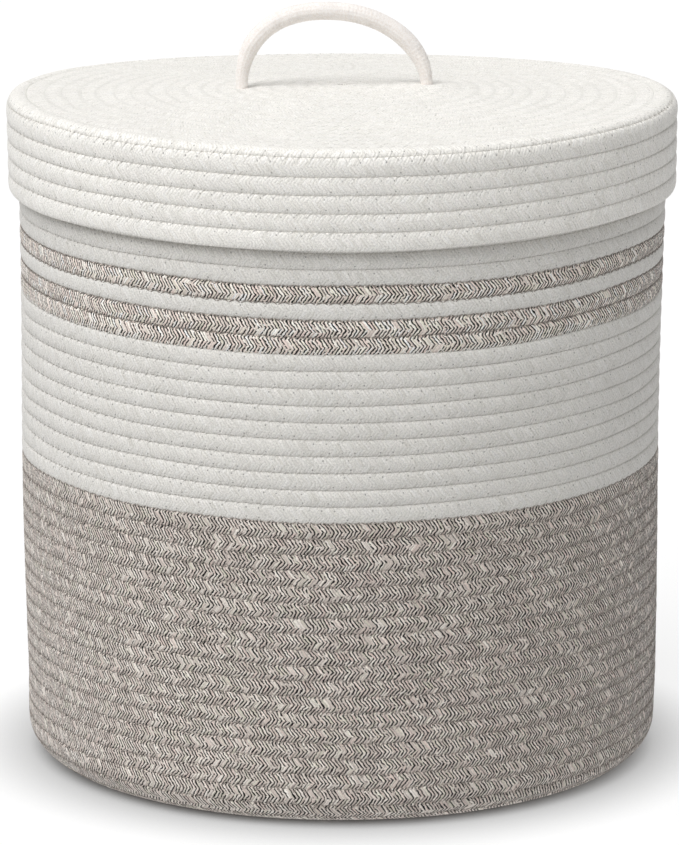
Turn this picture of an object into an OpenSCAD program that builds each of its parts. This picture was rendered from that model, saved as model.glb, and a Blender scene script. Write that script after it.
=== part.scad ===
// Round laundry hamper of coiled cotton rope, with a lift-off lid.
// Each rope is wound in a flat spiral for the base, bent up and stacked row on row for the wall.
// Neighbouring rows are sewn together with zigzag thread. Units are millimetres, +Z is up, and the
// origin is the centre of the base's underside.

/* [Rope] */
// Thickness of the sewn rope, through the wall
rope_t = 6; // [5:0.5:6]
// Height of one row of grey rope
grey_row = 10; // [9:0.25:10]
// Height of one row in the upper part of the wall
white_row = 10.25; // [9:0.25:12]
// Height of one row of the lid's rope
lid_row = 11.05; // [10:0.05:11.2]
// How far the middle of a row stands out past its seams
row_bulge = 1.3; // [0.5:0.1:1.5]

/* [Basket] */
// Outer radius of the wall just above the foot
foot_r = 204.5; // [202:0.5:205.5]
// Outer radius of the wall at the lid's lower edge
shoulder_r = 206.6; // [203:0.1:206.6]
// Outer radius of the rim, which the lid squeezes in a little
rim_r = 205.6; // [202:0.1:206]
// Radius of the bend between base and wall, on the outer face
foot_bend = 21.5; // [14:0.5:22]
// Rows of grey rope in the flat base
base_rows = 18; // [14:1:18]
// Rows of grey rope in the foot bend and the lower wall
lower_rows = 21; // [16:1:28]
// Rows of white rope between the grey wall and the stripes
middle_rows = 10; // [4:1:14]
// Rows of grey rope in the lower stripe
double_rows = 2; // [1:1:4]
// Rows of white rope between the two stripes
gap_rows = 1; // [1:1:4]
// Rows of grey rope in the upper stripe
single_rows = 1; // [1:1:4]
// Rows of white rope from the upper stripe to the rim
upper_rows = 7; // [6:1:12]

/* [Lid] */
// Outer radius of the skirt
lid_r = 213; // [213:0.5:216]
// Radius of the bend between the lid's top and its skirt, on the outer face
lid_bend = 8; // [7:0.5:10]
// Rows of rope in the lid's top
lid_top_rows = 18; // [14:1:18]
// Rows of rope in the lid's bend and skirt
lid_skirt_rows = 6; // [4:1:6]
// How far the middle of the top stands above its edge
lid_dome = 8; // [0:0.5:12]
// Clearance between the rim and the lid that rests on it
rim_gap = 0.3; // [0.2:0.1:1]

/* [Handle] */
// Diameter of the handle rope
handle_d = 11; // [8:0.5:12]
// Distance between the middles of the handle's two feet
handle_span = 117.8; // [90:0.2:150]
// Height of the middle of the rope at the top of the arch, above the lid
handle_rise = 49.6; // [40:0.2:60]
// Distance of the handle's middle from the lid's middle, along X
handle_shift = -4.4; // [-10:0.2:10]
// Diameter of the pressed rope where it passes through the lid
tail_d = 8.4; // [6:0.2:9]
// Diameter of the knot under the lid
knot_d = 24; // [24:1:30]
// Height of the knot under the lid
knot_h = 12; // [8:1:12]

/* [Stitching] */
// Width of the ridge that the sewing thread makes along a seam
thread_w = 1.2; // [0.8:0.1:1.4]

/* [Hidden] */
$fn = 96;

white = [0.93, 0.92, 0.89];
grey = [0.72, 0.69, 0.65];
cream = [0.95, 0.92, 0.86];
white_thread = [0.97, 0.96, 0.94];
taupe_thread = [0.62, 0.58, 0.54];

bulge_steps = 5;
// The part of a row that is flat, in its middle; the basket stands on it
crest = 1 / bulge_steps;
half_t = rope_t / 2;
seam_half_t = half_t - row_bulge;
thread_sink = 0.3;
hole_clearance = 0.3;
foot_clearance = 0.35;
foot_swell = 0.5;
tail_recess = 0.2;

// The places along the basket's outline where one band of rope ends and the next begins,
// measured from the middle of the base
lower_start = base_rows * grey_row;
middle_start = lower_start + lower_rows * grey_row;
double_start = middle_start + middle_rows * white_row;
gap_start = double_start + double_rows * white_row;
single_start = gap_start + gap_rows * white_row;
upper_start = single_start + single_rows * white_row;
basket_end = upper_start + upper_rows * white_row;
skirt_start = lid_top_rows * lid_row;
lid_end = skirt_start + lid_skirt_rows * lid_row;

// The flat part, the bend and the straight part of an outline, along the middle of the rope
base_flat = foot_r - foot_bend;
lid_flat = lid_r - lid_bend;
function bend_length(bend) = (bend - half_t) * PI / 2;
function straight_length(end, flat, bend) = end - flat - bend_length(bend);

rim_z = foot_bend + straight_length(basket_end, base_flat, foot_bend);
lid_mid_z = rim_z + rim_gap + half_t;
skirt_edge_z = lid_mid_z + half_t - lid_bend - straight_length(lid_end, lid_flat, lid_bend);

// How far the basket's wall leans out at height z, and in again under the lid
function flare(z) =
    (shoulder_r - foot_r) * min(1, (z - foot_bend) / (skirt_edge_z - foot_bend));
function tuck(z) =
    (shoulder_r - rim_r) * max(0, (z - skirt_edge_z) / (rim_z - skirt_edge_z));
function basket_lean(z) = flare(z) - tuck(z);

function dome_height(r) = lid_dome * (1 + cos(180 * r / lid_flat)) / 2;

// A point at distance u along the basket's outline and distance out from the rope's middle
function basket_point(u, out) =
    let(bend_mid = foot_bend - half_t)
    let(turn = min(90, max(0, (u - base_flat) / bend_mid * 180 / PI)))
    let(rise = max(0, u - base_flat - bend_mid * PI / 2))
    let(z = half_t + bend_mid * (1 - cos(turn)) + rise)
    let(lean = rise > 0 ? basket_lean(z) : 0)
    [
        min(u, base_flat) + bend_mid * sin(turn) + out * sin(turn) + lean,
        z - out * cos(turn)
    ];

// The same for the lid, whose outline runs from its middle to the lower edge of its skirt
function lid_point(u, out) =
    let(bend_mid = lid_bend - half_t)
    let(turn = min(90, max(0, (u - lid_flat) / bend_mid * 180 / PI)))
    let(drop = max(0, u - lid_flat - bend_mid * PI / 2))
    let(z = lid_mid_z - bend_mid * (1 - cos(turn)) - drop)
    [
        min(u, lid_flat) + bend_mid * sin(turn) + out * sin(turn),
        z + out * cos(turn) + (turn > 0 ? 0 : dome_height(u))
    ];

// Half the rope's thickness at a fraction f of the way across one row
function bulge_half_t(f) =
    let(crest_start = (1 - crest) / 2)
    seam_half_t + row_bulge * min(1, f * (1 - f) / (crest_start * (1 - crest_start)));

// The points along one face of a band of rows: side is 1 for the outer face, -1 for the inner
function basket_face(start, row, rows, side) = [
    for (i = [0:rows * bulge_steps])
        basket_point(start + i * row / bulge_steps, side * bulge_half_t(i / bulge_steps % 1))
];

function lid_face(start, row, rows, side) = [
    for (i = [0:rows * bulge_steps])
        lid_point(start + i * row / bulge_steps, side * bulge_half_t(i / bulge_steps % 1))
];

function backwards(points) = [for (i = [len(points) - 1:-1:0]) points[i]];

// A band of the basket's rope: rows stacked along the outline, as one closed ring or disc
module basket_band(start, row, rows) {
    rotate_extrude()
        polygon(concat(
            basket_face(start, row, rows, 1),
            backwards(basket_face(start, row, rows, -1))
        ));
}

module lid_band(start, row, rows) {
    rotate_extrude()
        polygon(concat(
            lid_face(start, row, rows, 1),
            backwards(lid_face(start, row, rows, -1))
        ));
}

// A ridge of sewing thread that lies in the groove between two rows
module thread_ridge(centre) {
    rotate_extrude()
        translate(centre)
            circle(d = thread_w, $fn = 4);
}

// The zigzag seam above each row of a band, seen on both faces
module basket_seams(start, row, rows) {
    for (i = [1:rows], side = [-1, 1])
        thread_ridge(basket_point(start + i * row, side * (seam_half_t + thread_sink)));
}

module lid_seams(start, row, rows) {
    for (i = [1:rows], side = [-1, 1])
        thread_ridge(lid_point(start + i * row, side * (seam_half_t + thread_sink)));
}

module base_coil() {
    color(grey) basket_band(0, grey_row, base_rows);
}

module lower_wall_coil() {
    color(grey) basket_band(lower_start, grey_row, lower_rows);
}

module middle_wall_coil() {
    color(white) basket_band(middle_start, white_row, middle_rows);
}

module double_stripe_coil() {
    color(grey) basket_band(double_start, white_row, double_rows);
}

module stripe_gap_coil() {
    color(white) basket_band(gap_start, white_row, gap_rows);
}

module single_stripe_coil() {
    color(grey) basket_band(single_start, white_row, single_rows);
}

module upper_wall_coil() {
    color(white) basket_band(upper_start, white_row, upper_rows);
}

module base_stitching() {
    color(taupe_thread) basket_seams(0, grey_row, base_rows);
}

module lower_wall_stitching() {
    color(taupe_thread) basket_seams(lower_start, grey_row, lower_rows);
}

module middle_wall_stitching() {
    color(white_thread) basket_seams(middle_start, white_row, middle_rows);
}

module stripe_stitching() {
    color(taupe_thread) basket_seams(double_start, white_row, double_rows + gap_rows + single_rows);
}

module upper_wall_stitching() {
    color(white_thread) basket_seams(upper_start, white_row, upper_rows - 1);
}

// The places where the handle's two ends pass through the lid's top
foot_x = [handle_shift - handle_span / 2, handle_shift + handle_span / 2];
lid_top_z = lid_mid_z + half_t;
foot_surface_z = lid_top_z + dome_height(handle_span / 2);
lid_under_z = lid_mid_z - half_t + dome_height(handle_span / 2 + abs(handle_shift) + knot_d / 2);

module lid_top_coil() {
    color(white) difference() {
        lid_band(0, lid_row, lid_top_rows);
        for (x = foot_x)
            translate([x, 0, lid_mid_z - rope_t])
                cylinder(h = lid_dome + 2 * rope_t, d = tail_d + 2 * hole_clearance);
    }
}

module lid_skirt_coil() {
    color(white) lid_band(skirt_start, lid_row, lid_skirt_rows);
}

module lid_top_stitching() {
    color(white_thread) difference() {
        lid_seams(0, lid_row, lid_top_rows);
        for (x = foot_x)
            translate([x, 0, lid_mid_z - rope_t])
                cylinder(h = lid_dome + 2 * rope_t, d = tail_d + 2 * hole_clearance);
    }
}

module lid_skirt_stitching() {
    color(white_thread) lid_seams(skirt_start, lid_row, lid_skirt_rows - 1);
}

// The end of the handle rope that stays in the lid, from its knot up to the lid's top
module handle_tail(x) {
    color(cream)
        translate([x, 0, lid_under_z])
            cylinder(h = foot_surface_z - lid_under_z - tail_recess, d = tail_d);
}

// The knot that keeps the rope's end from slipping out, a thick ring pulled tight
module handle_knot(x) {
    knot_tube = knot_h / 2;
    color(cream)
        translate([x, 0, lid_under_z - knot_h])
            rotate_extrude() {
                square([knot_d / 2 - knot_tube, knot_h]);
                translate([knot_d / 2 - knot_tube, knot_tube]) circle(r = knot_tube);
            }
}

module handle_tail_left() {
    handle_tail(foot_x[0]);
}

module handle_tail_right() {
    handle_tail(foot_x[1]);
}

module handle_knot_left() {
    handle_knot(foot_x[0]);
}

module handle_knot_right() {
    handle_knot(foot_x[1]);
}

// The arch of the handle swings about the line through the middles of its two rounded feet
foot_ball_r = handle_d / 2 + foot_swell;
swing_z = foot_surface_z + foot_ball_r + foot_clearance;
arch_height = foot_surface_z + handle_rise - swing_z;
arch_r = (pow(handle_span / 2, 2) + pow(arch_height, 2)) / (2 * arch_height);
arch_half_angle = asin(handle_span / 2 / arch_r);

module handle_loop() {
    color(cream) {
        translate([handle_shift, 0, swing_z + arch_height - arch_r])
            rotate([90, 0, 0])
                rotate([0, 0, 90 - arch_half_angle])
                    rotate_extrude(angle = 2 * arch_half_angle)
                        translate([arch_r, 0]) circle(d = handle_d);
        for (x = foot_x)
            translate([x, 0, swing_z]) sphere(r = foot_ball_r);
    }
}

base_coil();
lower_wall_coil();
middle_wall_coil();
double_stripe_coil();
stripe_gap_coil();
single_stripe_coil();
upper_wall_coil();
base_stitching();
lower_wall_stitching();
middle_wall_stitching();
stripe_stitching();
upper_wall_stitching();
lid_top_coil();
lid_skirt_coil();
lid_top_stitching();
lid_skirt_stitching();
handle_tail_left();
handle_tail_right();
handle_knot_left();
handle_knot_right();
handle_loop();
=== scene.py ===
"""The looks of a round laundry hamper of coiled cotton rope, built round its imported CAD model.

Each rope is wound as one long helix, from the middle of a disc out to a bend and on along a wall.
A place on a rope is told by n, its turns from the start, and v, which runs across the row from 0 at
the edge nearer the start to 1 at the other. Lengths are in metres, in the CAD model's frame.
"""

import math
from collections import namedtuple

import bpy
import numpy as np
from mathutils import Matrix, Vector


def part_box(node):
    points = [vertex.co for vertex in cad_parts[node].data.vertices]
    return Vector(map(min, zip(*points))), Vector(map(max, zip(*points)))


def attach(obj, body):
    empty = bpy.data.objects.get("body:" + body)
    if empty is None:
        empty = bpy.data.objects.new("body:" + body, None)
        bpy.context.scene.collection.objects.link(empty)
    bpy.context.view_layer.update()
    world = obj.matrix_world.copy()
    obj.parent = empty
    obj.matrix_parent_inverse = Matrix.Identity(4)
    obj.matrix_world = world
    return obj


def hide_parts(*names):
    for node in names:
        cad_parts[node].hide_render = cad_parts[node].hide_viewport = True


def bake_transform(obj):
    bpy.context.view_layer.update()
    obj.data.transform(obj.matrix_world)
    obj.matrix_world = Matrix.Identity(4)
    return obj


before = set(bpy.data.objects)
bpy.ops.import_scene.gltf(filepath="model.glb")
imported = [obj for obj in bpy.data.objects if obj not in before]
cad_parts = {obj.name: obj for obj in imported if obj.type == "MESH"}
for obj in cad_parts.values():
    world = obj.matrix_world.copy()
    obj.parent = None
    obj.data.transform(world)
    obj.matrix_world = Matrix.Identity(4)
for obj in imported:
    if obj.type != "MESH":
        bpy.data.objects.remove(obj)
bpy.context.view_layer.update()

MM = 0.001
TAU = 2 * math.pi

# Half the rope's thickness at the middle of a row and at its seams, and the height of a row
ROPE_HALF = 3 * MM
GREY_SEAM_HALF = 2.2 * MM
WHITE_SEAM_HALF = 1.6 * MM
LID_TOP_SEAM_HALF = 2.85 * MM
GREY_ROW = 10 * MM
WHITE_ROW = 10.25 * MM
LID_ROW = 11.05 * MM
# How far hand work puts the rows and the walls out
UNEVEN = 0.3 * MM
DENT = 0.6 * MM
# How square the shoulders of a row are, and how round its top is
SHOULDER_POWER = 2.6
CROWN_POWER = 0.6
# How much one stretch of rope is thicker than another
FULLNESS = 0.035
# How much of each row's climb is made at the back of the hamper
LEVEL = 0.9
# Steps to a turn in the tables of a rope's length
TURN_STEPS = 720
# The middle of a disc, and the tapered far end of its rope
TIP_RADIUS = 0.3 * MM
END_TAPER_TURNS = 0.07
END_WIDTH = 0.15

# The length of rope from one row of a rope's mesh to the next
GREY_STEP = 0.6 * MM
WHITE_STEP = 0.8 * MM

# The basket's outline
BASE_FLAT = 183 * MM
FOOT_BEND = 21.5 * MM
FOOT_R = BASE_FLAT + FOOT_BEND
SHOULDER_R = 206.6 * MM
RIM_R = 205.6 * MM
RIM_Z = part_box("upper_wall_coil")[1].z
FOOT_MID = FOOT_BEND - ROPE_HALF
BASKET_END = BASE_FLAT + FOOT_MID * math.pi / 2 + RIM_Z - FOOT_BEND

# The lid's outline
LID_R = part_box("lid_skirt_coil")[1].x
SKIRT_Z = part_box("lid_skirt_coil")[0].z
LID_BEND = 8 * MM
LID_FLAT = LID_R - LID_BEND
LID_DOME = 8 * MM
LID_GAP = 1.3 * MM
LID_MID_Z = RIM_Z + LID_GAP + ROPE_HALF
LID_BEND_MID = LID_BEND - ROPE_HALF
LID_END = LID_FLAT + LID_BEND_MID * math.pi / 2 + LID_MID_Z - LID_BEND_MID - SKIRT_Z
SKIRT_INNER_TRIM = 0.6 * MM

# The soft walls stand a little out of true: higher at the sides, with the middle rows settled
SIDE_RISE = 5.5 * MM
BACK_RISE = 1 * MM
RISEN_ABOVE = 0.3
SETTLE = 2 * MM
SETTLE_TOP = 0.33

# Where each rope starts and stops, in turns. New rope is joined on at the back of the basket
BACK = math.radians(90)
GREY_TURNS = 39
BASKET_LAST = 59
BASKET_FIRST_AZIMUTH = math.radians(54)
LID_TOP_LAST = 17.5
SKIRT_SEAMS_FROM = (17.8, 18.8)
LID_LAST = 23.5
# The middle of each disc is filled by part of a turn before the first
DISC_START = -0.9

# The braid of the rope: two columns of slanting strands to a row, each strand of three yarns.
# APEX_SHIFT and TWIST_DRIFT put the line between the columns off the middle of the row
COLUMN = 5.2 * MM
STRAND = 2.25 * MM
SLANT = 0.72
STRAND_DEPTH = 0.22 * MM
APEX_SHIFT = 0.9 * MM
TWIST_DRIFT = 0.9 * MM

# The zigzag sewing thread. It goes down into the rope at each end of a stitch, which is
# THREAD_REACH from the seam, or BORDER_REACH where grey rope meets white
ZIGZAG = 7.6 * MM
THREAD_REACH = 2.3 * MM
BORDER_REACH = 1.1 * MM
THREAD_R = 0.32 * MM
THREAD_SINK = 0.17 * MM
THREAD_DIVE = 0.7 * MM
THREAD_BRIDGE = 0.9 * MM
HOLE_R = 0.56 * MM

# The studio's floor, its light and the camera
FLOOR_FLAT = 15.0
FLOOR_BEND = 8.0
FLOOR_GREY = 0.2
FLOOR_GLOW = 0.8
CONTACT_SHADE = 55 * MM
LIGHT_FROM_BELOW = 1.15
LIGHT_AROUND = 0.43
SOFTBOX_POWER = 2.45
SOFTBOX_WIDTH = math.radians(50)
SOFTBOX_TOWARDS = Vector((0.35, 0.4, -0.86))
CAMERA_PLACE = (-0.0011, -2.8, 0.8273)
CAMERA_PITCH = 0.217
CAMERA_LENS = 188.7

# The handle
HANDLE_R = 5.9 * MM
TAIL_R = 3.9 * MM
HANDLE_TAPER = 32 * MM
HANDLE_LEAN = -5.3 * MM
HANDLE_ROUNDNESS = 2.15
HANDLE_STRAND = 2.4 * MM
HANDLE_RELIEF = 0.3 * MM
FOOT_DEPTH = 3 * MM
KNOT_R = 3.6 * MM
TAIL_OVERLAP = 1.5 * MM
TAIL_INTO_KNOT = 5 * MM
# The lid round the handle's feet: a small hollow at each, and the lid pulled up round the right
HOLLOW_REACH = 7 * MM
HOLLOW_DEPTH = 1.0 * MM
PULL_REACH = 24 * MM
PULL_RISE = 2.4 * MM


def smoothstep(low, high, x):
    t = np.clip((x - low) / (high - low), 0, 1)
    return t * t * (3 - 2 * t)


def waves(rng, count, low, high):
    """A smooth function between about -1 and 1, from sine waves with seeded rates and phases."""
    rates = rng.uniform(low, high, count)
    phases = rng.uniform(0, TAU, count)
    return lambda x: sum(np.sin(TAU * r * x + p) for r, p in zip(rates, phases)) / math.sqrt(count)


def soft_dents(rng, count=6):
    """A smooth function of azimuth and height, for how far the soft walls are out of round."""
    rounds = rng.integers(2, 8, count)
    climbs = rng.uniform(-22, 22, count)
    phases = rng.uniform(0, TAU, count)

    def field(azimuth, z):
        total = sum(np.sin(k * azimuth + c * z + p) for k, c, p in zip(rounds, climbs, phases))
        return total / math.sqrt(count)

    return field


# ---- Outlines: radius and height at distance u along the rope's middle, and out from it ----

def basket_outline(u, out):
    turn = np.clip((u - BASE_FLAT) / FOOT_MID, 0, math.pi / 2)
    rise = np.maximum(0, u - BASE_FLAT - FOOT_MID * math.pi / 2)
    z = ROPE_HALF + FOOT_MID * (1 - np.cos(turn)) + rise
    flare = (SHOULDER_R - FOOT_R) * np.clip((z - FOOT_BEND) / (SKIRT_Z - FOOT_BEND), 0, 1)
    tuck = (SHOULDER_R - RIM_R) * np.clip((z - SKIRT_Z) / (RIM_Z - SKIRT_Z), 0, 1)
    r = np.minimum(u, BASE_FLAT) + (FOOT_MID + out) * np.sin(turn) + flare - tuck
    return r, z - out * np.cos(turn)


def lid_outline(u, out):
    turn = np.clip((u - LID_FLAT) / LID_BEND_MID, 0, math.pi / 2)
    drop = np.maximum(0, u - LID_FLAT - LID_BEND_MID * math.pi / 2)
    dome = LID_DOME * (1 + np.cos(math.pi * np.minimum(u / LID_FLAT, 1))) / 2
    r = np.minimum(u, LID_FLAT) + (LID_BEND_MID + out) * np.sin(turn)
    return r, LID_MID_Z - LID_BEND_MID * (1 - np.cos(turn)) - drop + out * np.cos(turn) + dome


def basket_edge(n):
    return GREY_ROW * np.minimum(n, GREY_TURNS) + WHITE_ROW * np.maximum(n - GREY_TURNS, 0)


def lid_edge(n):
    return LID_ROW * n


def basket_azimuth(n):
    return BASKET_FIRST_AZIMUTH + TAU * n


def lid_azimuth(n):
    return BACK - TAU * (n - LID_LAST)


def stance(x, y, z):
    """How far the soft basket and lid stand above their even shape."""
    free = smoothstep(0, RISEN_ABOVE, z)
    settled = np.sin(math.pi * np.clip(z / SETTLE_TOP, 0, 1))
    return free * (SIDE_RISE * (x / LID_R) ** 2 + BACK_RISE * y / LID_R) - SETTLE * settled


def basket_seam_half(n):
    share = smoothstep(GREY_TURNS, GREY_TURNS + 0.6, n)
    return GREY_SEAM_HALF + (WHITE_SEAM_HALF - GREY_SEAM_HALF) * share


def lid_seam_half(n):
    """The rows of the lid's top are sewn so close that their seams are shallow."""
    share = smoothstep(*SKIRT_SEAMS_FROM, n)
    return LID_TOP_SEAM_HALF + (WHITE_SEAM_HALF - LID_TOP_SEAM_HALF) * share


class Coil:
    """One rope wound round and round, with the small unevenness of soft rope fed by hand."""

    def __init__(self, outline, even_edge, azimuth, front, last, outline_end, seam_half, seed):
        rng = np.random.default_rng(seed)
        self.outline = outline
        self.even_edge = even_edge
        self.azimuth = azimuth
        self.front = front
        self.last = last
        self.outline_end = outline_end
        self.seam_half = seam_half
        self.uneven = waves(rng, 7, 0.7, 11)
        self.twist = waves(rng, 9, 0.3, 25)
        self.fullness = waves(rng, 6, 0.5, 14)
        self.presses = []
        turns = np.arange(-1, last + 2, 1 / TURN_STEPS)
        radius, _ = outline(self.edge(turns + 0.5), 0)
        steps = TAU * radius / TURN_STEPS
        self.turn_table = turns
        self.length_table = np.concatenate([[0], np.cumsum(steps[1:])])

    def edge(self, n):
        """Distance along the outline of the lower edge of the row at turn n."""
        uneven = UNEVEN * smoothstep(0, 3, n) * self.uneven(n)
        level = n - LEVEL * np.sin(TAU * (n - self.front)) / TAU
        return np.clip(self.even_edge(level) + uneven, TIP_RADIUS, self.outline_end)

    def row(self, n):
        """The row's two edges. The rope's far end is tapered and tucked in."""
        low = self.edge(n)
        high = self.edge(n + 1)
        taper = np.maximum(smoothstep(0, END_TAPER_TURNS, self.last - n), END_WIDTH)
        return low, low + (high - low) * taper

    def length(self, n):
        return np.interp(n, self.turn_table, self.length_table)

    def turn(self, length):
        return np.interp(length, self.length_table, self.turn_table)

    def place(self, n, u, out):
        """Points in space at turn n, at u along the outline and out from the rope's middle."""
        radius, z = self.outline(u, out)
        azimuth = self.azimuth(n)
        upright = smoothstep(0.19, 0.2, radius) * smoothstep(0.01, 0.06, z)
        radius = radius + DENT * upright * dent_field(azimuth, z)
        x = radius * np.cos(azimuth)
        y = radius * np.sin(azimuth)
        z = z + stance(x, y, z)
        for centre, reach, depth in self.presses:
            away = (x - centre[0]) ** 2 + (y - centre[1]) ** 2
            z = z - depth * np.exp(-away / reach ** 2)
        return np.stack(np.broadcast_arrays(x, y, z), axis=-1)


dent_field = soft_dents(np.random.default_rng(11))
basket = Coil(
    basket_outline, basket_edge, basket_azimuth, (-BACK - BASKET_FIRST_AZIMUTH) / TAU,
    BASKET_LAST, BASKET_END, basket_seam_half, seed=21,
)
lid = Coil(
    lid_outline, lid_edge, lid_azimuth, LID_LAST + 0.5,
    LID_LAST, LID_END + LID_ROW, lid_seam_half, seed=22,
)


# ---- Meshes ----

def new_object(name, points, faces, layers, material):
    """faces is a list of arrays with one row of corners a face; layers gives UVs by point or corner."""
    mesh = bpy.data.meshes.new(name)
    corners = np.concatenate([f.ravel() for f in faces]).astype(np.int32)
    sizes = np.concatenate([np.full(len(f), f.shape[1]) for f in faces])
    mesh.vertices.add(len(points))
    mesh.vertices.foreach_set("co", np.asarray(points, dtype=np.float32).ravel())
    mesh.loops.add(len(corners))
    mesh.loops.foreach_set("vertex_index", corners)
    mesh.polygons.add(len(sizes))
    mesh.polygons.foreach_set("loop_start", (np.cumsum(sizes) - sizes).astype(np.int32))
    mesh.polygons.foreach_set("use_smooth", np.ones(len(sizes), dtype=bool))
    mesh.update(calc_edges=True)
    for layer, uv in layers.items():
        uv = np.asarray(uv, dtype=np.float32)
        by_corner = uv[corners] if len(uv) == len(points) else uv
        mesh.uv_layers.new(name=layer).data.foreach_set("uv", by_corner.ravel())
    mesh.materials.append(material)
    obj = bpy.data.objects.new(name, mesh)
    bpy.context.scene.collection.objects.link(obj)
    return obj


def grid_faces(rows, columns, first=0):
    i, j = np.meshgrid(np.arange(rows - 1), np.arange(columns - 1), indexing="ij")
    a = (first + i * columns + j).ravel()
    return np.stack([a, a + columns, a + columns + 1, a + 1], axis=1)


def row_half(v, seam_half, full=1.0):
    """Half the rope's thickness at v across its row: round shoulders, and a groove at each seam."""
    crown = np.maximum(0, 1 - np.abs(2 * v - 1) ** SHOULDER_POWER) ** CROWN_POWER
    return seam_half + (ROPE_HALF * full - seam_half) * crown, crown


def triangle_wave(x):
    """Runs from 0 up to 1 and back as x grows by 2."""
    return np.abs((x + 1) % 2 - 1)


def strand_relief(along, across):
    """How far the braid's surface lies under its highest points, from 0 to 1."""
    slanted = along - SLANT * COLUMN * triangle_wave(across / COLUMN)
    ridge = np.abs(np.sin(math.pi * slanted / STRAND)) ** 0.6
    dive = np.abs(np.sin(math.pi * across / COLUMN)) ** 0.5
    return 1 - ridge * (0.45 + 0.55 * dive)


def across_points(count):
    """Places across a row, closer together towards its two edges."""
    return (1 - np.cos(math.pi * np.arange(count + 1) / count)) / 2


def rope(name, coil, start, end, material, step, across, depth, inner_trim=0.0, coarse=4):
    """A closed stretch of rope, with a finely braided outer face and a coarser inner face."""
    first, last = coil.length(start), coil.length(end)
    inner_count = math.ceil((last - first) / (step * coarse))
    count = inner_count * coarse
    along = np.linspace(first, last, count + 1)[:, None]

    def face(along, v, side):
        n = coil.turn(along)
        low, high = coil.row(n)
        width = high - low
        full = 1 + FULLNESS * coil.fullness(n)
        slim = np.sqrt(np.clip(width / GREY_ROW, 0.05, 1))
        half, crown = row_half(v, coil.seam_half(n + v), full)
        span = v * width
        braided = span + APEX_SHIFT + TWIST_DRIFT * coil.twist(n)
        relief = depth * crown * strand_relief(along, braided) if side > 0 else 0
        trim = inner_trim * crown if side < 0 else 0
        points = coil.place(n, low + span, side * (half * slim - relief - trim))
        upper_seam = np.where(n + 1 > coil.last, 0.25, coil.length(n + 1) / ZIGZAG)
        layers = {
            "rope": (along, braided),
            "seam_below": (along / ZIGZAG, span),
            "seam_above": (upper_seam, width - span),
        }
        return points, layers

    v_outer = across_points(across)[None, :]
    v_inner = across_points(max(4, across // 2))[None, :]
    outer, outer_layers = face(along, v_outer, 1)
    inner, inner_layers = face(along[::coarse], v_inner, -1)
    layers = {}
    for layer in outer_layers:
        parts = []
        for points, source in ((outer, outer_layers), (inner, inner_layers)):
            pair = [np.broadcast_to(item, points.shape[:2]).ravel() for item in source[layer]]
            parts.append(np.stack(pair, axis=1))
        layers[layer] = np.concatenate(parts)

    outer_columns, inner_columns = outer.shape[1], inner.shape[1]
    inner_first = outer.shape[0] * outer_columns
    outer_grid = grid_faces(outer.shape[0], outer_columns)
    inner_grid = grid_faces(inner.shape[0], inner_columns, inner_first)[:, ::-1]
    sides = []
    for outer_column, inner_column, way in ((0, 0, 1), (outer_columns - 1, inner_columns - 1, -1)):
        k = np.arange(inner_count)
        here = inner_first + k * inner_columns + inner_column
        for i in range(coarse):
            fine = (k * coarse + i) * outer_columns + outer_column
            sides.append(np.stack([here, fine + outer_columns, fine][::way], axis=1))
        fine = (k + 1) * coarse * outer_columns + outer_column
        sides.append(np.stack([here, here + inner_columns, fine][::way], axis=1))
    caps = []
    for outer_row, inner_row, way in ((0, 0, 1), (outer.shape[0] - 1, inner.shape[0] - 1, -1)):
        outer_ring = outer_row * outer_columns + np.arange(outer_columns)
        inner_ring = inner_first + inner_row * inner_columns + np.arange(inner_columns)
        caps.append(np.concatenate([outer_ring, inner_ring[::-1]])[::way][None, :])
    points = np.concatenate([outer.reshape(-1, 3), inner.reshape(-1, 3)])
    return new_object(name, points, [outer_grid, inner_grid, *sides, *caps], layers, material)


def tube(name, centres, normals, radii, sides, material, relief=None):
    """A closed round tube along the centres. UVs are in metres along and round it."""
    tangents = np.gradient(centres, axis=0)
    lengths = np.linalg.norm(np.diff(centres, axis=0), axis=1)
    along = np.concatenate([[0], np.cumsum(lengths)])
    tangents /= np.linalg.norm(tangents, axis=1, keepdims=True)
    beside = np.cross(tangents, normals)
    beside /= np.linalg.norm(beside, axis=1, keepdims=True)
    above = np.cross(beside, tangents)
    angle = TAU * np.arange(sides) / sides
    radii = np.broadcast_to(radii, along.shape)[:, None]
    if relief is not None:
        radii = radii - relief(along[:, None], angle[None, :])
    radii = np.broadcast_to(radii, (len(along), sides))[..., None]
    rings = centres[:, None] + radii * (
        np.cos(angle)[None, :, None] * above[:, None] + np.sin(angle)[None, :, None] * beside[:, None]
    )
    i, j = np.meshgrid(np.arange(len(along) - 1), np.arange(sides), indexing="ij")
    i, j = i.ravel(), j.ravel()
    next_j = (j + 1) % sides
    here, ahead = i * sides, (i + 1) * sides
    quads = np.stack([here + j, here + next_j, ahead + next_j, ahead + j], axis=1)
    end_ring = (len(along) - 1) * sides + np.arange(sides)
    caps = [np.arange(sides)[::-1][None, :], end_ring[None, :]]
    girth = TAU * float(radii.mean())
    u = np.stack([along[i], along[i], along[i + 1], along[i + 1]], axis=1).ravel()
    w = np.stack([j, j + 1, j + 1, j], axis=1).ravel() / sides * girth
    cap_uv = np.zeros((2 * sides, 2))
    layers = {"rope": np.concatenate([np.stack([u, w], axis=1), cap_uv])}
    return new_object(name, rings.reshape(-1, 3), [quads, *caps], layers, material)


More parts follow.
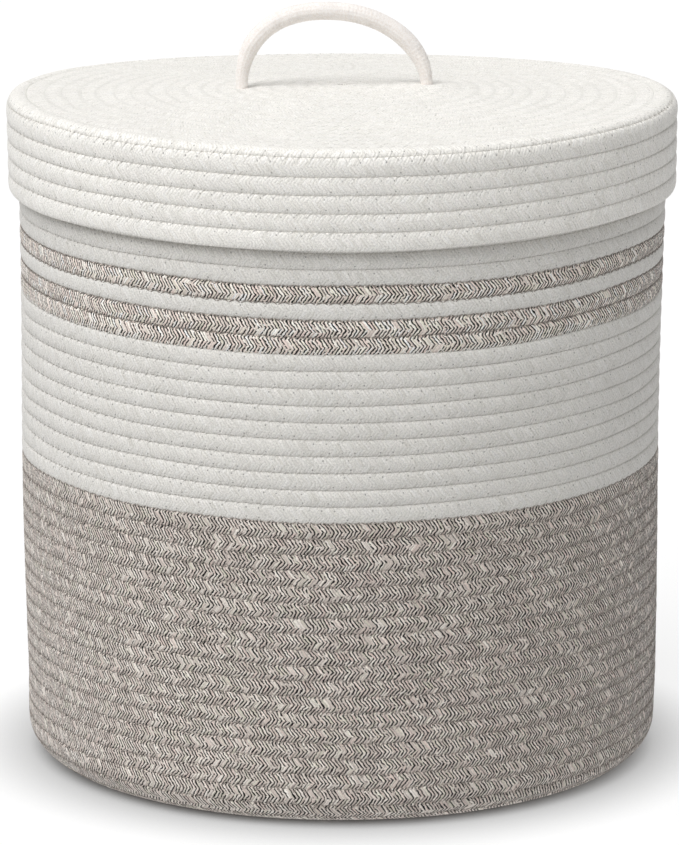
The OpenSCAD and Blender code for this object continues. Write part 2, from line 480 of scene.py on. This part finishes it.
def stitching(name, coil, start, end, side, material, full_reach, samples, sides):
    """The zigzag thread that joins the row at turn n to the row one turn before it."""
    along = np.arange(coil.length(start), coil.length(end), ZIGZAG / samples)
    n = coil.turn(along)
    swing = 2 * triangle_wave(2 * along / ZIGZAG + 0.5) - 1
    reach = full_reach * (1 + 0.12 * coil.uneven(n * 7))
    offset = swing * reach
    low, high = coil.row(n)
    below, _ = coil.row(n - 1)
    row_height = np.where(offset > 0, high - low, low - below)
    resting = np.maximum(np.abs(offset), THREAD_BRIDGE)
    half, _ = row_half(np.clip(resting / row_height, 0, 0.5), coil.seam_half(n))
    dive = THREAD_DIVE * smoothstep(0.8, 1, np.abs(swing))
    out = side * (half - THREAD_SINK - dive)
    centres = coil.place(n, low + offset, out)
    normals = coil.place(n, low + offset, out + side * MM) - centres
    return tube(name, centres, normals, THREAD_R, sides, material)


# ---- Materials ----

def srgb(red, green, blue):
    """Linear colour of an sRGB colour given from 0 to 255."""
    def linear(value):
        value /= 255
        return value / 12.92 if value <= 0.04045 else ((value + 0.055) / 1.055) ** 2.4
    return (linear(red), linear(green), linear(blue), 1.0)


class Nodes:
    """A short way to write shader nodes: each method adds one and returns its output."""

    def __init__(self, name):
        self.material = bpy.data.materials.new(name)
        self.material.use_nodes = True
        self.tree = self.material.node_tree
        self.shader = self.tree.nodes["Principled BSDF"]

    def feed(self, socket, item):
        if isinstance(item, bpy.types.NodeSocket):
            self.tree.links.new(item, socket)
        else:
            socket.default_value = item

    def math(self, operation, *items):
        node = self.tree.nodes.new("ShaderNodeMath")
        node.operation = operation
        for socket, item in zip(node.inputs, items):
            self.feed(socket, item)
        return node.outputs[0]

    def vector(self, x, y, z=0.0):
        node = self.tree.nodes.new("ShaderNodeCombineXYZ")
        for socket, item in zip(node.inputs, (x, y, z)):
            self.feed(socket, item)
        return node.outputs[0]

    def uv(self, layer):
        """The two coordinates of a UV layer, in metres or zigzags."""
        node = self.tree.nodes.new("ShaderNodeUVMap")
        node.uv_map = layer
        split = self.tree.nodes.new("ShaderNodeSeparateXYZ")
        self.tree.links.new(node.outputs[0], split.inputs[0])
        return split.outputs[0], split.outputs[1]

    def noise(self, vector, scale, detail=2.0):
        node = self.tree.nodes.new("ShaderNodeTexNoise")
        self.feed(node.inputs["Vector"], vector)
        node.inputs["Scale"].default_value = scale
        node.inputs["Detail"].default_value = detail
        return node.outputs["Fac"]

    def place(self):
        return self.tree.nodes.new("ShaderNodeTexCoord").outputs["Object"]

    def random(self, x, y, z=0.0):
        node = self.tree.nodes.new("ShaderNodeTexWhiteNoise")
        node.noise_dimensions = "3D"
        self.feed(node.inputs["Vector"], self.vector(x, y, z))
        return node.outputs["Value"]

    def ramp(self, factor, stops):
        node = self.tree.nodes.new("ShaderNodeValToRGB")
        node.color_ramp.interpolation = "CONSTANT"
        elements = node.color_ramp.elements
        while len(elements) < len(stops):
            elements.new(1.0)
        for element, (position, colour) in zip(elements, stops):
            element.position = position
            element.color = colour
        self.feed(node.inputs[0], factor)
        return node.outputs[0]

    def mix(self, factor, first, second):
        node = self.tree.nodes.new("ShaderNodeMix")
        node.data_type = "RGBA"
        self.feed(node.inputs["Factor"], factor)
        self.feed(node.inputs[6], first)
        self.feed(node.inputs[7], second)
        return node.outputs[2]

    def remap(self, value, low, high, to_low, to_high):
        node = self.tree.nodes.new("ShaderNodeMapRange")
        node.interpolation_type = "SMOOTHSTEP"
        for socket, item in zip(node.inputs, (value, low, high, to_low, to_high)):
            self.feed(socket, item)
        return node.outputs[0]

    def shade(self, colour, factor):
        """A colour multiplied by a number."""
        node = self.tree.nodes.new("ShaderNodeVectorMath")
        node.operation = "SCALE"
        self.feed(node.inputs[0], colour if isinstance(colour, bpy.types.NodeSocket) else colour[:3])
        self.feed(node.inputs["Scale"], factor)
        return node.outputs[0]

    def bump(self, height, distance, strength=1.0):
        node = self.tree.nodes.new("ShaderNodeBump")
        node.inputs["Strength"].default_value = strength
        node.inputs["Distance"].default_value = distance
        self.feed(node.inputs["Height"], height)
        self.tree.links.new(node.outputs[0], self.shader.inputs["Normal"])


def needle_holes(nodes, layer, phase):
    """0 in the middle of each needle hole beside one seam, and 1 away from them."""
    along, across = nodes.uv(layer)
    part = nodes.math("SUBTRACT", nodes.math("FRACT", along), phase)
    away = nodes.math("MULTIPLY", part, ZIGZAG)
    across = nodes.math("SUBTRACT", across, THREAD_REACH)
    away_squared = nodes.math("MULTIPLY", away, away)
    across_squared = nodes.math("MULTIPLY", across, across)
    distance = nodes.math("SQRT", nodes.math("ADD", away_squared, across_squared))
    shape = nodes.remap(distance, HOLE_R * 0.2, HOLE_R * 1.4, 1.0, 0.0)
    still_open = nodes.remap(nodes.random(nodes.math("FLOOR", along), phase), 0.25, 0.85, 0.0, 1.0)
    return nodes.math("SUBTRACT", 1.0, nodes.math("MULTIPLY", shape, still_open))


def braided(name, yarn_stops, painted_gap_shade, variation, fleck_depth, hole_shade, dark=None):
    """Braided cotton rope, with painted shade in the gaps between strands: the gap argument tells how
    bright the gaps stay, and dark is the colour of a thin yarn that runs beside some of the strands."""
    nodes = Nodes(name)
    along, across = nodes.uv("rope")
    plane = nodes.vector(along, across)

    # The strands run unevenly
    wander = nodes.math("SUBTRACT", nodes.noise(plane, 130.0), 0.5)
    quiver = nodes.math("SUBTRACT", nodes.noise(plane, 520.0), 0.5)
    sway = nodes.math("SUBTRACT", nodes.noise(plane, 90.0, 3.0), 0.5)
    along = nodes.math("MULTIPLY_ADD", wander, 1.7 * MM, along)
    along = nodes.math("MULTIPLY_ADD", quiver, 1.5 * MM, along)
    across = nodes.math("MULTIPLY_ADD", sway, 3.0 * MM, across)

    # Which strand and yarn this is, and how far across the strand it lies
    fold = nodes.math("PINGPONG", across, COLUMN)
    slanted = nodes.math("SUBTRACT", along, nodes.math("MULTIPLY", fold, SLANT))
    column = nodes.math("FLOOR", nodes.math("DIVIDE", across, COLUMN))
    strand_place = nodes.math("DIVIDE", slanted, STRAND)
    strand = nodes.math("FLOOR", strand_place)
    inside = nodes.math("FRACT", strand_place)
    yarn = nodes.math("FLOOR", nodes.math("MULTIPLY", strand_place, 3.0))

    # Colour, by yarn, strand, patch and fleck, with painted shade between the strands and in the holes
    colour = nodes.ramp(nodes.random(yarn, column, 3.0), yarn_stops)
    strand_tint = nodes.remap(nodes.random(strand, column, 8.0), 0.0, 1.0, 1 - variation, 1 + variation)
    # painted shade: the colour is darkened towards the gaps between the strands
    strand_ridge = nodes.math("SINE", nodes.math("MULTIPLY", inside, math.pi))
    strand_shade = nodes.remap(strand_ridge, 0.0, 0.55, painted_gap_shade, 1.0)
    patches = nodes.noise(nodes.place(), 38.0)
    blotch = nodes.remap(patches, 0.3, 0.7, 1 - variation / 2, 1 + variation / 2)
    fleck = nodes.remap(nodes.noise(plane, 1000.0, 2.0), 0.3, 0.7, 1 - fleck_depth, 1 + fleck_depth)
    below = needle_holes(nodes, "seam_below", 0.25)
    above = needle_holes(nodes, "seam_above", 0.75)
    holes = nodes.math("MULTIPLY", below, above)
    # painted shade: the colour is darkened inside the needle holes that are still open
    hole_light = nodes.remap(holes, 0.0, 1.0, hole_shade, 1.0)
    for factor in (strand_tint, strand_shade, blotch, fleck, hole_light):
        colour = nodes.shade(colour, factor)
    height = nodes.math("MULTIPLY", strand_ridge, 0.9)

    # The dark yarn beside some of the strands, broken where it dips under
    if dark is not None:
        shows = nodes.remap(nodes.random(strand, column, 5.0), 0.89, 0.95, 1.0, 0.0)
        broken = nodes.remap(nodes.noise(plane, 330.0), 0.36, 0.42, 0.0, 1.0)
        away = nodes.math("ABSOLUTE", nodes.math("SUBTRACT", inside, 0.15))
        line = nodes.remap(away, 0.23, 0.28, 1.0, 0.0)
        line = nodes.math("MULTIPLY", line, nodes.math("MULTIPLY", shows, broken))
        colour = nodes.mix(line, colour, dark)
        height = nodes.math("SUBTRACT", height, nodes.math("MULTIPLY", line, 0.3))
    nodes.feed(nodes.shader.inputs["Base Color"], colour)

    # Relief and finish
    fibres = nodes.noise(plane, 2600.0, 3.0)
    height = nodes.math("MULTIPLY_ADD", fibres, 0.5, height)
    height = nodes.math("MULTIPLY", height, holes)
    nodes.bump(height, 0.22 * MM, 0.8)
    roughness = nodes.remap(nodes.noise(nodes.place(), 300.0), 0.2, 0.8, 0.82, 0.95)
    nodes.feed(nodes.shader.inputs["Roughness"], roughness)
    nodes.shader.inputs["Specular IOR Level"].default_value = 0.25
    nodes.shader.inputs["Sheen Weight"].default_value = 0.15
    nodes.shader.inputs["Sheen Roughness"].default_value = 0.5
    return nodes.material


def lighter(factor, colour):
    """A colour made lighter, or darker where factor is under 1."""
    return tuple(min(1.0, factor * channel) for channel in colour[:3]) + (1.0,)


def grey_rope_material(name, light):
    charcoal = srgb(10, 8, 7)
    taupe = lighter(light, srgb(207, 196, 188))
    pink_taupe = lighter(light, srgb(219, 203, 195))
    olive = lighter(light, srgb(212, 207, 193))
    pale = lighter(light, srgb(232, 224, 216))
    cream = lighter(light, srgb(242, 236, 228))
    stops = [
        (0.0, taupe), (0.33, pale), (0.58, pink_taupe), (0.7, olive), (0.82, cream), (0.89, taupe),
    ]
    return braided(name, stops, painted_gap_shade=0.66, variation=0.06, fleck_depth=0.1, hole_shade=0.6, dark=charcoal)


def white_rope_material(name, light):
    shares = [
        (0.0, srgb(239, 237, 231)), (0.3, srgb(243, 240, 235)), (0.6, srgb(235, 232, 226)),
        (0.75, srgb(245, 243, 239)), (0.93, srgb(229, 226, 219)),
    ]
    stops = [(position, lighter(light, colour)) for position, colour in shares]
    return braided(name, stops, painted_gap_shade=0.87, variation=0.03, fleck_depth=0.13, hole_shade=0.42)


def thread_material(name, colour):
    nodes = Nodes(name)
    along, around = nodes.uv("rope")
    ply = nodes.math("MULTIPLY_ADD", around, 0.9, along)
    twist = nodes.math("SINE", nodes.math("MULTIPLY", ply, TAU / (0.7 * MM)))
    tone = nodes.remap(nodes.noise(nodes.place(), 400.0), 0.3, 0.7, 0.93, 1.0)
    nodes.feed(nodes.shader.inputs["Base Color"], nodes.shade(colour, tone))
    nodes.bump(twist, 0.06 * MM)
    roughness = nodes.remap(nodes.noise(nodes.place(), 900.0), 0.3, 0.7, 0.5, 0.65)
    nodes.feed(nodes.shader.inputs["Roughness"], roughness)
    nodes.shader.inputs["Sheen Weight"].default_value = 0.1
    return nodes.material


def handle_material():
    nodes = Nodes("handle_rope")
    along, around = nodes.uv("rope")
    left = nodes.math("DIVIDE", nodes.math("ADD", along, around), HANDLE_STRAND / 3)
    right = nodes.math("DIVIDE", nodes.math("SUBTRACT", along, around), HANDLE_STRAND / 3)
    ridge = nodes.math("MULTIPLY", nodes.math("SINE", left), nodes.math("SINE", right))
    yarn = nodes.random(nodes.math("FLOOR", left), nodes.math("FLOOR", right), 2.0)
    stops = [(0.0, srgb(248, 243, 239)), (0.35, srgb(243, 236, 230)), (0.7, srgb(250, 246, 243))]
    colour = nodes.ramp(yarn, stops)
    colour = nodes.shade(colour, nodes.remap(nodes.noise(nodes.place(), 120.0), 0.3, 0.7, 0.95, 1.0))
    nodes.feed(nodes.shader.inputs["Base Color"], colour)
    fibres = nodes.noise(nodes.place(), 2600.0, 3.0)
    nodes.bump(nodes.math("MULTIPLY_ADD", ridge, 0.5, fibres), 0.15 * MM)
    roughness = nodes.remap(nodes.noise(nodes.place(), 500.0), 0.3, 0.7, 0.8, 0.93)
    nodes.feed(nodes.shader.inputs["Roughness"], roughness)
    nodes.shader.inputs["Sheen Weight"].default_value = 0.2
    return nodes.material


grey = grey_rope_material("grey_rope", 1.03)
stripe_grey = grey_rope_material("stripe_grey_rope", 1.28)
# painted shade: the wall's white rope is a darker copy of the lid's white rope, standing in for the
# shade on the wall under the lid
painted_shade_wall_white = white_rope_material("painted_shade_wall_white_rope", 0.87)
lid_white = white_rope_material("lid_white_rope", 1.03)
white_thread = thread_material("white_thread", srgb(238, 236, 231))
taupe_thread = thread_material("taupe_thread", srgb(150, 141, 133))
cream = handle_material()


# ---- The ropes and their stitching ----

Look = namedtuple("Look", "rope rope_slot thread thread_slot reach step strand_depth")


def grey_look(rope_material, reach):
    """Grey rope, sewn with taupe thread."""
    return Look(rope_material, "grey_rope", taupe_thread, "grey_thread", reach, GREY_STEP, STRAND_DEPTH)


def white_look(rope_material):
    """White rope, which has shallower strands, sewn with white thread."""
    return Look(
        rope_material, "white_rope", white_thread, "thread", THREAD_REACH, WHITE_STEP, STRAND_DEPTH / 2,
    )


LOOKS = {
    "grey": grey_look(grey, THREAD_REACH),
    "grey_border": grey_look(grey, BORDER_REACH),
    "stripe": grey_look(stripe_grey, BORDER_REACH),
    "white": white_look(painted_shade_wall_white),
    "white_border": white_look(painted_shade_wall_white)._replace(
        thread=taupe_thread, thread_slot="grey_thread", reach=BORDER_REACH,
    ),
    "lid": white_look(lid_white),
}


def band(node, stitch_node, coil, start, end, lengths, look, body, coarser=1, across=8, inner_trim=0.0):
    """A band of rows, cut into equal lengths of rope, with the thread that sews each one."""
    cuts = np.linspace(start, end, lengths + 1)
    for first, last in zip(cuts[:-1], cuts[1:]):
        label = f"{node}_from_{round(first)}"
        piece = rope(
            f"{label}_rope", coil, first, last, look.rope, look.step * coarser, across,
            look.strand_depth, inner_trim,
        )
        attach(piece, body)
        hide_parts(node)
        seam_first = max(first + 1, 1.0)
        seam_last = min(last + 1, coil.last)
        for side, face, samples, sides in ((1, "outer", 12, 5), (-1, "inner", 8, 4)):
            name = f"{label}_{face}_stitches"
            seam = stitching(
                name, coil, seam_first, seam_last, side, look.thread, look.reach, samples, sides,
            )
            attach(seam, body)
            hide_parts(stitch_node)


handle_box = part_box("handle_loop")
foot_x = [
    (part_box(node)[0].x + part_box(node)[1].x) / 2 for node in ("handle_tail_left", "handle_tail_right")
]
FOOT_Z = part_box("handle_tail_left")[1].z + 1.2 * MM
KNOT_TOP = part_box("handle_knot_left")[1].z
lid.presses = [((x, 0.0), HOLLOW_REACH, HOLLOW_DEPTH) for x in foot_x]
lid.presses.append(((foot_x[1], 0.0), PULL_REACH, -PULL_RISE))

# Each band: its CAD nodes, the turns it starts and ends at, the lengths it is cut into, its look,
# how much coarser its mesh is, and the cells across a row
basket_bands = [
    ("base_coil", "base_stitching", DISC_START, 18, 1, "grey", 2, 6),
    ("lower_wall_coil", "lower_wall_stitching", 18, 37.1, 5, "grey", 1, 8),
    ("lower_wall_coil", "lower_wall_stitching", 37.1, 38.1, 1, "grey_border", 1, 8),
    ("middle_wall_coil", "middle_wall_stitching", 38.1, 48.1, 2, "white", 1, 8),
    ("double_stripe_coil", "stripe_stitching", 48.1, 50.1, 1, "stripe", 1, 8),
    ("stripe_gap_coil", "stripe_stitching", 50.1, 51.1, 1, "white_border", 1, 8),
    ("single_stripe_coil", "stripe_stitching", 51.1, 52.1, 1, "stripe", 1, 8),
    ("upper_wall_coil", "upper_wall_stitching", 52.1, BASKET_LAST, 2, "white", 1, 8),
]
for node, seams, start, end, lengths, look, coarser, across in basket_bands:
    band(node, seams, basket, start, end, lengths, LOOKS[look], "basket", coarser, across)
band("lid_top_coil", "lid_top_stitching", lid, DISC_START, LID_TOP_LAST, 1, LOOKS["lid"], "lid")
band(
    "lid_skirt_coil", "lid_skirt_stitching", lid, LID_TOP_LAST, LID_LAST, 1, LOOKS["lid"], "lid",
    inner_trim=SKIRT_INNER_TRIM,
)


# ---- The handle ----

def braid_relief(along, angle):
    """Two sets of strands that wind opposite ways and pass over and under each other."""
    around = angle * HANDLE_R
    left = (along + around) / HANDLE_STRAND
    right = (along - around) / HANDLE_STRAND
    over = np.sin(math.pi * left) * np.sin(math.pi * right)
    return HANDLE_RELIEF * (0.5 - 0.5 * over)


def evenly(path, step):
    lengths = np.concatenate([[0], np.cumsum(np.linalg.norm(np.diff(path, axis=0), axis=1))])
    places = np.linspace(0, lengths[-1], math.ceil(lengths[-1] / step) + 1)
    return np.stack([np.interp(places, lengths, path[:, k]) for k in range(3)], axis=1)


def handle_centres():
    """The middle of the handle rope: a slightly squared half ellipse that leans to the left."""
    half_span = (foot_x[1] - foot_x[0]) / 2
    middle = (foot_x[0] + foot_x[1]) / 2
    rise = handle_box[1].z + 0.8 * MM - HANDLE_R - FOOT_Z
    t = np.linspace(math.pi, 0, 2000)
    power = 2 / HANDLE_ROUNDNESS
    x = half_span * np.sign(np.cos(t)) * np.abs(np.cos(t)) ** power
    z = rise * np.abs(np.sin(t)) ** power
    x = x + HANDLE_LEAN * (z / rise) ** 1.7
    path = np.stack([middle + x, np.zeros_like(x), FOOT_Z + z], axis=1)
    into_lid = np.array([0, 0, FOOT_DEPTH])
    return np.concatenate([[path[0] - into_lid], path, [path[-1] - into_lid]])


def make_handle():
    centres = evenly(handle_centres(), 0.6 * MM)
    height = centres[:, 2] - FOOT_Z
    radii = TAIL_R + (HANDLE_R - TAIL_R) * smoothstep(0, HANDLE_TAPER, height)
    normals = np.tile([0.0, 1.0, 0.0], (len(centres), 1))
    piece = tube("handle_rope", centres, normals, radii, 64, cream, relief=braid_relief)
    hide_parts("handle_loop")
    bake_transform(piece)


def make_tail(side, x):
    top = np.array([x, 0, FOOT_Z + TAIL_OVERLAP])
    bottom = np.array([x, 0, KNOT_TOP - TAIL_INTO_KNOT])
    centres = evenly(np.stack([bottom, top]), 0.8 * MM)
    normals = np.tile([0.0, 1.0, 0.0], (len(centres), 1))
    piece = tube(f"handle_tail_{side}_rope", centres, normals, TAIL_R, 40, cream, relief=braid_relief)
    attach(piece, "lid")
    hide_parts(f"handle_tail_{side}")


def make_knot(side, x):
    """An overhand knot pulled up under the lid, wound as a trefoil."""
    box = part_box(f"handle_knot_{side}")
    middle = np.array([x, 0, (box[0].z + box[1].z) / 2])
    wide = ((box[1].x - box[0].x) / 2 - KNOT_R) / 3
    tall = (box[1].z - box[0].z) / 2 - KNOT_R
    t = np.linspace(0, TAU, 400)
    loop = np.stack([
        wide * (np.sin(t) + 2 * np.sin(2 * t)),
        wide * (np.cos(t) - 2 * np.cos(2 * t)),
        -tall * np.sin(3 * t),
    ], axis=1)
    centres = evenly(middle + loop, 0.8 * MM)
    outward = centres - middle
    piece = tube(f"handle_knot_{side}_rope", centres, outward + [0, 0, 2 * MM], KNOT_R, 32, cream,
                 relief=braid_relief)
    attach(piece, "lid")
    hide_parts(f"handle_knot_{side}")


make_handle()
for side, x in zip(("left", "right"), foot_x):
    make_tail(side, x)
    make_knot(side, x)


# ---- Studio ----

def make_floor():
    """A pale floor that sweeps up far away, so that nothing but floor is behind the hamper."""
    bend = np.linspace(0, math.pi / 2, 16)
    radii = np.concatenate([[0, FLOOR_FLAT / 20], FLOOR_FLAT + FLOOR_BEND * np.sin(bend)])[:, None]
    heights = np.concatenate([[0, 0], FLOOR_BEND * (1 - np.cos(bend))])[:, None]
    azimuth = np.linspace(0, TAU, 97)[None, :]
    points = np.stack(
        np.broadcast_arrays(radii * np.cos(azimuth), radii * np.sin(azimuth), heights), axis=-1,
    )
    nodes = Nodes("pale_floor")
    faces = grid_faces(len(radii), azimuth.size)
    floor = new_object("floor", points.reshape(-1, 3), [faces], {}, nodes.material)
    floor.location.z = -0.2 * MM
    nodes.shader.inputs["Base Color"].default_value = (FLOOR_GREY, FLOOR_GREY, FLOOR_GREY, 1.0)
    nodes.shader.inputs["Emission Strength"].default_value = FLOOR_GLOW
    nodes.shader.inputs["Roughness"].default_value = 0.9
    nodes.shader.inputs["Specular IOR Level"].default_value = 0.1
    # painted contact shadow: the floor's glow is darkened by ambient occlusion near the hamper
    contact = nodes.tree.nodes.new("ShaderNodeAmbientOcclusion")
    contact.inputs["Distance"].default_value = CONTACT_SHADE
    nodes.tree.links.new(contact.outputs["Color"], nodes.shader.inputs["Emission Color"])
    floor.visible_diffuse = False


def make_light():
    """White light from all round, brighter from below as off a pale floor, and one large softbox."""
    world = bpy.data.worlds.new("studio")
    world.use_nodes = True
    background = world.node_tree.nodes["Background"]
    background.inputs["Color"].default_value = (1.0, 1.0, 1.0, 1.0)
    split = world.node_tree.nodes.new("ShaderNodeSeparateXYZ")
    direction = world.node_tree.nodes.new("ShaderNodeTexCoord")
    world.node_tree.links.new(direction.outputs["Generated"], split.inputs[0])
    from_below = world.node_tree.nodes.new("ShaderNodeMapRange")
    for socket, value in zip(from_below.inputs[1:5], (-1.0, -0.3, LIGHT_FROM_BELOW, LIGHT_AROUND)):
        socket.default_value = value
    world.node_tree.links.new(split.outputs["Z"], from_below.inputs[0])
    world.node_tree.links.new(from_below.outputs[0], background.inputs["Strength"])
    bpy.context.scene.world = world
    light = bpy.data.lights.new("softbox", "SUN")
    light.energy = SOFTBOX_POWER
    light.angle = SOFTBOX_WIDTH
    softbox = bpy.data.objects.new("softbox", light)
    softbox.rotation_euler = SOFTBOX_TOWARDS.to_track_quat("-Z", "Y").to_euler()
    bpy.context.scene.collection.objects.link(softbox)


def make_camera():
    camera = bpy.data.cameras.new("camera")
    camera.sensor_width = 36
    camera.lens = CAMERA_LENS
    camera.clip_end = 200
    view = bpy.data.objects.new("camera", camera)
    view.location = CAMERA_PLACE
    view.rotation_euler = (math.pi / 2 - CAMERA_PITCH, 0, 0)
    bpy.context.scene.collection.objects.link(view)
    bpy.context.scene.camera = view


make_floor()
make_light()
make_camera()
bpy.context.scene.view_settings.view_transform = "Standard"
